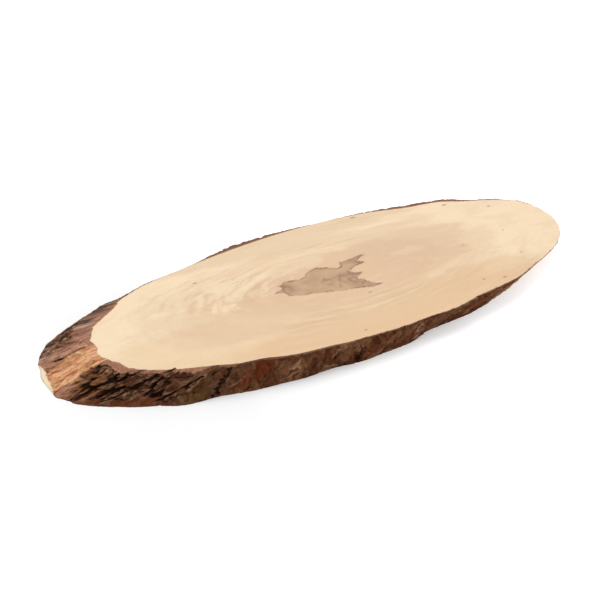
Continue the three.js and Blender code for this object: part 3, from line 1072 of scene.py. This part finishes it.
def add_stain(g, colour, sources):
    """The stain in the heart: a thin dark outline, and a few lines and smudges inside it."""
    ragged, shade = sources["ragged"], sources["shade"]
    fray = g.math("MULTIPLY", g.math("SUBTRACT", ragged, 0.5), 7.0)
    away = g.math("ADD", g.look("stain"), fray)
    inside = g.rise(away, 0.5, -0.5)
    stain = g.blend(g.rise(shade, 0.35, 0.65), seen(204, 167, 130), seen(187, 149, 115))
    colour = g.tint(colour, g.rise(away, 5.0, 0.0, 0.0, 0.25), (222, 188, 154))
    colour = g.blend(g.math("MULTIPLY", inside, 0.92), colour, stain)
    line = g.rise(g.math("ABSOLUTE", g.math("ADD", away, 0.6)), 1.7, 0.2)
    colour = g.tint(colour, line, (150, 112, 84), g.rise(shade, 0.36, 0.58, 0.15, 0.85))
    smudge = g.math("MULTIPLY", g.rise(g.look("smudge"), 0.3, 0.9), inside)
    colour = g.tint(colour, smudge, (166, 128, 101), g.rise(ragged, 0.38, 0.60, 0.15, 0.8))
    vein = g.rise(g.math("MULTIPLY_ADD", fray, 0.75, g.look("vein")), 2.0, -0.4)
    return g.tint(colour, vein, (142, 103, 78), g.rise(ragged, 0.36, 0.58, 0.2, 0.75))


def wood_colour(g, place_on_face, trunk, shift):
    """Pale sapwood, a tan heart with soft patches, year rings, the stain and small flecks."""
    sources = {name: g.texture(trunk, row) for name, row in WOOD_TEXTURES.items()}
    sources |= {"rings": ring_noise(g, trunk), "wave": ring_wave(g, trunk)}
    colour = figure_tone(g, place_on_face, trunk, shift)
    colour = g.lay(colour, sources, WOOD_LAYERS)
    here = g.rise(sources["broken"], 0.45, 0.65, 0.05, 0.3)
    here = g.math("MAXIMUM", here, g.math("MULTIPLY", g.look("ringed"), 1.3))
    colour = g.lay(colour, sources, RING_LAYERS, here)
    pieces = g.math("MULTIPLY", g.rise(sources["pieces"], 0.44, 0.56, 0.1, 1.0), g.look("ringed"))
    colour = g.lay(colour, sources, CLEAR_RING_LAYERS, pieces)
    colour = g.lay(colour, sources, FIBRE_LAYERS)
    colour = add_stain(g, colour, sources)
    fleck = g.math("MULTIPLY_ADD", sources["ragged"], 0.3, g.look("fleck"))
    return g.tint(colour, g.rise(fleck, 0.30, 0.65, 0.0, 0.8), (170, 128, 88))


def plate_colour(g, sources):
    """Brown plates, darker or lighter in parts of the way round."""
    plate, mottle = g.look("plate"), sources["mottle"]
    brown = g.blend(plate, seen(126, 76, 44), seen(172, 118, 78))
    dark = g.blend(plate, seen(82, 48, 29), seen(136, 96, 73))
    colour = g.blend(g.look("dark"), brown, dark)
    colour = g.lay(colour, sources, PLATE_LAYERS)
    colour = g.tint(colour, g.look("olive"), (106, 76, 40), g.rise(mottle, 0.60, 0.40, 0.3, 0.8))
    colour = g.tint(colour, g.look("rust"), (112, 50, 22), g.rise(mottle, 0.62, 0.42, 0.4, 0.85))
    colour = g.tint(colour, g.look("plum"), (112, 76, 54), 0.8)
    colour = g.tint(colour, g.look("thin"), (214, 164, 122), 0.8)
    # Pale flecks on the highest chips, partly painted highlight
    return g.tint(colour, g.look("chip"), (164, 134, 108), 0.85)


def bark_colour(g):
    """Plates with dark furrows, over smooth mauve bark, bare tan bark and shaggy strands; the deep
    furrows also get painted shade.
    """
    place = g.combine(g.look("pattern_x"), g.look("pattern_y"), g.look("pattern_z"))
    place = g.vector("MULTIPLY", place, (MM, MM, MM))
    sources = {name: g.texture(place, row) for name, row in BARK_TEXTURES.items()}
    sources["flake"] = g.look("flake")
    bundles = g.math("SUBTRACT", sources["bundles"], 0.5)
    sources["strands"] = g.math("MULTIPLY_ADD", bundles, 0.9, sources["strands"])
    mottle, shaggy = sources["mottle"], g.look("shaggy")

    colour = plate_colour(g, sources)
    mauve = g.blend(g.rise(mottle, 0.35, 0.65), seen(214, 158, 130), seen(178, 124, 97))
    mauve = g.lay(mauve, sources, MAUVE_LAYERS)
    colour = g.blend(g.math("MULTIPLY", g.look("mauve"), 0.92), colour, mauve)
    tan = g.blend(g.rise(mottle, 0.38, 0.62), seen(250, 190, 144), seen(222, 158, 108))
    colour = g.blend(g.look("tan"), colour, g.lay(tan, sources, TAN_LAYERS))
    colour = g.tint(colour, shaggy, (138, 100, 80), 0.4)
    colour = g.lay(colour, sources, STRAND_LAYERS, shaggy)
    # Edges of flakes and ridges: paler bark with painted highlight
    colour = g.lay(colour, sources, EDGE_PALE_AND_HIGHLIGHT_LAYERS, g.look("edge"))
    colour = g.lay(colour, sources, PORE_LAYERS)
    # Deep furrows: their own dark bark with painted shade over it, nearly black
    return g.tint(colour, g.rise(g.look("furrow_dark_and_shade"), 0.34, 0.72), (30, 9, 2), 0.94)


def sawn_bark_colour(g, trunk, rind, ragged):
    """Bark where the saw has cut it level: lighter, and darker again further out."""
    mauve = g.look("mauve")
    sources = {"rind": rind, "specks": g.texture(trunk, SPECK_TEXTURE)}
    colour = g.blend(g.rise(ragged, 0.35, 0.65), seen(152, 102, 76), seen(182, 130, 98))
    colour = g.lay(colour, sources, [("rind", 1.0, 3.4, 0.75, (112, 70, 50))])
    colour = g.tint(colour, mauve, (176, 122, 94), 0.6)
    colour = g.lay(colour, sources, [("rind", 2.2, 0.4, 0.5, (198, 138, 98))])
    colour = g.lay(colour, sources, [("specks", 0.49, 0.58, 0.7, (112, 72, 54))])
    return g.tint(colour, g.look("dark"), (92, 54, 34), g.math("SUBTRACT", 1.0, mauve))


def sawn_share(g):
    """1 on level faces, less where the bark is bare or shaggy."""
    true_normal = g.node("ShaderNodeNewGeometry").outputs["True Normal"]
    upright = g.math("ABSOLUTE", g.node("ShaderNodeSeparateXYZ", {0: true_normal}).outputs[2])
    bare = g.math("MULTIPLY", g.look("tan"), 0.75)
    bare = g.math("MULTIPLY_ADD", g.look("shaggy"), 0.7, bare)
    return g.math("MULTIPLY", g.rise(upright, 0.985, 0.999), g.math("SUBTRACT", 0.88, bare))


def trunk_place(g, coordinates, shift):
    """Coordinates turned so that z runs along the trunk, with its axis through the middle."""
    axis_at = (shift[0] * MM, shift[1] * MM, THICKNESS / 2 * MM)
    inputs = {"Vector": coordinates, "Center": axis_at, "Angle": CUT_ANGLE - np.pi / 2}
    turned = g.node("ShaderNodeVectorRotate", inputs, rotation_type="Y_AXIS").outputs[0]
    return g.vector("SUBTRACT", turned, axis_at)


def make_material(name, specular, shift):
    """Wood and bark: the sawn faces and the skin share it, each with its own gloss."""
    material = bpy.data.materials.new(name)
    g = Graph(material)
    coordinates = g.node("ShaderNodeTexCoord").outputs["Object"]
    trunk = trunk_place(g, coordinates, shift)

    # Bark starts where the rind does, along a ragged line
    ragged = g.texture(trunk, RIM_TEXTURE)
    rind = g.math("MULTIPLY_ADD", g.math("SUBTRACT", ragged, 0.5), 1.3, g.look("rind"))
    is_bark = g.rise(rind, 0.25, 0.6)
    bark = g.blend(sawn_share(g), bark_colour(g), sawn_bark_colour(g, trunk, rind, ragged))
    colour = g.blend(is_bark, wood_colour(g, along_grain(g, coordinates), trunk, shift), bark)
    colour = g.tint(colour, g.look("torn"), (255, 233, 198))

    rough = g.texture(trunk, ROUGH_TEXTURE)
    grain = g.math("MULTIPLY", g.texture(trunk, GRAIN_TEXTURE), 0.08)
    height = g.choose(is_bark, grain, rough)
    bump = g.node("ShaderNodeBump", {"Strength": 0.9, "Distance": 0.0008, "Height": height})
    wood_gloss = g.rise(g.texture(trunk, GLOSS_TEXTURE), 0.3, 0.7, 0.55, 0.7)
    bark_gloss = g.rise(rough, 0.3, 0.7, 0.75, 0.95)
    g.surface({
        "Base Color": colour,
        "Roughness": g.choose(is_bark, wood_gloss, bark_gloss),
        "Normal": bump.outputs[0],
        "Specular IOR Level": specular,
    })
    return material


# The stage: a pale floor that glows a little, most of all to the right, which keeps the shadows
# light; one very soft light, from the upper left and a little behind; and the photo's camera
FLOOR_SIZE = 9
FLOOR_COLOUR = (0.66, 0.66, 0.66, 1)
GLOW_FROM, GLOW_TO = (-0.14, 0.035), (0.2, 0.63)  # x in metres, strength
WHITE = (1, 1, 1, 1)
WORLD_STRENGTH = 1.0
LIGHT_STRENGTH = 1.65
LIGHT_SPREAD = np.radians(50)
LIGHT_HEADING = (-0.15, -0.6, -1.3)
LENS, SENSOR = 72, 36
CAMERA_PLACE = (-504.87, -759.63, 515.30)  # from the middle of the trunk's axis
CAMERA_HEADING = (0.4661115, 0.7356133, -0.4915416)


def make_floor():
    bpy.ops.mesh.primitive_plane_add(size=FLOOR_SIZE, location=(0, 0, 0))
    floor = bpy.context.object
    floor.name = "floor"
    material = bpy.data.materials.new("pale_floor")
    g = Graph(material)
    coordinates = g.node("ShaderNodeTexCoord").outputs["Object"]
    across = g.node("ShaderNodeSeparateXYZ", {0: coordinates}).outputs[0]
    inputs = {0: across, 1: GLOW_FROM[0], 2: GLOW_TO[0], 3: GLOW_FROM[1], 4: GLOW_TO[1]}
    g.surface({
        "Base Color": FLOOR_COLOUR,
        "Roughness": 0.9,
        "Emission Color": WHITE,
        "Emission Strength": g.node("ShaderNodeMapRange", inputs).outputs[0],
    })
    floor.data.materials.append(material)


def make_lights():
    world = bpy.data.worlds.new("studio")
    bpy.context.scene.world = world
    world.use_nodes = True
    background = world.node_tree.nodes["Background"]
    background.inputs["Color"].default_value = WHITE
    background.inputs["Strength"].default_value = WORLD_STRENGTH
    light = bpy.data.lights.new("soft_key", "SUN")
    light.energy = LIGHT_STRENGTH
    light.angle = LIGHT_SPREAD
    holder = bpy.data.objects.new("soft_key", light)
    holder.rotation_euler = Vector(LIGHT_HEADING).to_track_quat("-Z", "Y").to_euler()
    bpy.context.scene.collection.objects.link(holder)


def make_camera(shift):
    camera_data = bpy.data.cameras.new("camera")
    camera_data.lens = LENS
    camera_data.sensor_width = SENSOR
    camera = bpy.data.objects.new("camera", camera_data)
    forward = Vector(CAMERA_HEADING).normalized()
    right = forward.cross(Vector((0, 0, 1))).normalized()
    upward = right.cross(forward)
    turned = Matrix((right, upward, -forward)).transposed()
    place = Vector((CAMERA_PLACE[0] + shift[0], CAMERA_PLACE[1] + shift[1], CAMERA_PLACE[2])) * MM
    camera.matrix_world = Matrix.Translation(place) @ turned.to_4x4()
    bpy.context.scene.collection.objects.link(camera)
    bpy.context.scene.camera = camera
    bpy.context.scene.view_settings.view_transform = "Standard"


piece, shift = make_piece()
piece.data.materials.append(make_material("sawn_wood", 0.25, shift))
piece.data.materials.append(make_material("bark", 0.04, shift))
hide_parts("wood_slice")
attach(piece, "root")
make_floor()
make_lights()
make_camera(shift)
